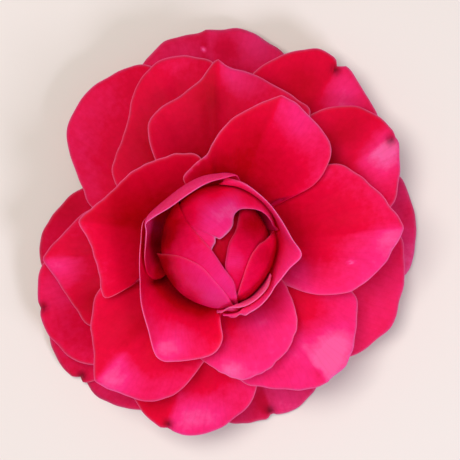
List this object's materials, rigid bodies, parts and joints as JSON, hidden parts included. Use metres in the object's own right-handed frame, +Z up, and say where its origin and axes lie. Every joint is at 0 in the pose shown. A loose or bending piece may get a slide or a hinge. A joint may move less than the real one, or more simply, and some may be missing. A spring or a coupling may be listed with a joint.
{
  "type": "camellia flower",
  "caption": "Deep pink-red full camellia blossom as picked: overlapping petals round a closed bud, green calyx scales and a short cut stalk.",
  "frame": {"origin": "bottom centre of the flower's bounding box, on the surface it rests on", "axes": "+Z up through the flower's face, +Y towards the upper edge of the flower as seen from above"},
  "size_m": [0.0952, 0.101, 0.046],
  "materials": {
    "outer_petal": "soft matte petal, veined, duller red",
    "middle_petal": "soft matte petal, veined",
    "inner_petal": "soft satin petal, veined, pink towards the rim",
    "cup_petal": "soft satin petal with a pale rim",
    "bud_petal": "smooth satin petal with a pale rim",
    "calyx": "downy yellow-green scale with a brown edge",
    "stalk": "matte green-brown bark with a fresh cut end"
  },
  "bodies": {
    "root": {"bract_1": "calyx", "bract_2": "calyx", "bract_3": "calyx", "sepal_1": "calyx", "sepal_2": "calyx", "sepal_3": "calyx", "sepal_4": "calyx", "sepal_5": "calyx", "outer_petal_1": "outer_petal", "outer_petal_2": "outer_petal", "outer_petal_3": "outer_petal", "outer_petal_4": "outer_petal", "outer_petal_5": "outer_petal", "outer_petal_6": "outer_petal", "outer_petal_7": "outer_petal", "outer_petal_8": "outer_petal", "outer_petal_9": "outer_petal", "middle_petal_1": "middle_petal", "middle_petal_2": "middle_petal", "middle_petal_3": "middle_petal", "middle_petal_4": "middle_petal", "middle_petal_5": "middle_petal", "middle_petal_6": "middle_petal", "middle_petal_7": "middle_petal", "middle_petal_8": "middle_petal", "inner_petal_1": "inner_petal", "inner_petal_2": "inner_petal", "inner_petal_3": "inner_petal", "inner_petal_4": "inner_petal", "inner_petal_5": "inner_petal", "inner_petal_6": "inner_petal", "inner_petal_7": "inner_petal", "cup_petal_1": "cup_petal", "cup_petal_2": "cup_petal", "cup_petal_3": "cup_petal", "cup_petal_4": "cup_petal", "bud_petal_1": "bud_petal", "bud_petal_2": "bud_petal", "bud_petal_3": "bud_petal", "bud_petal_4": "bud_petal", "bud_petal_5": "bud_petal", "bud_petal_6": "bud_petal", "stalk": "stalk"}
  },
  "joints": []
}
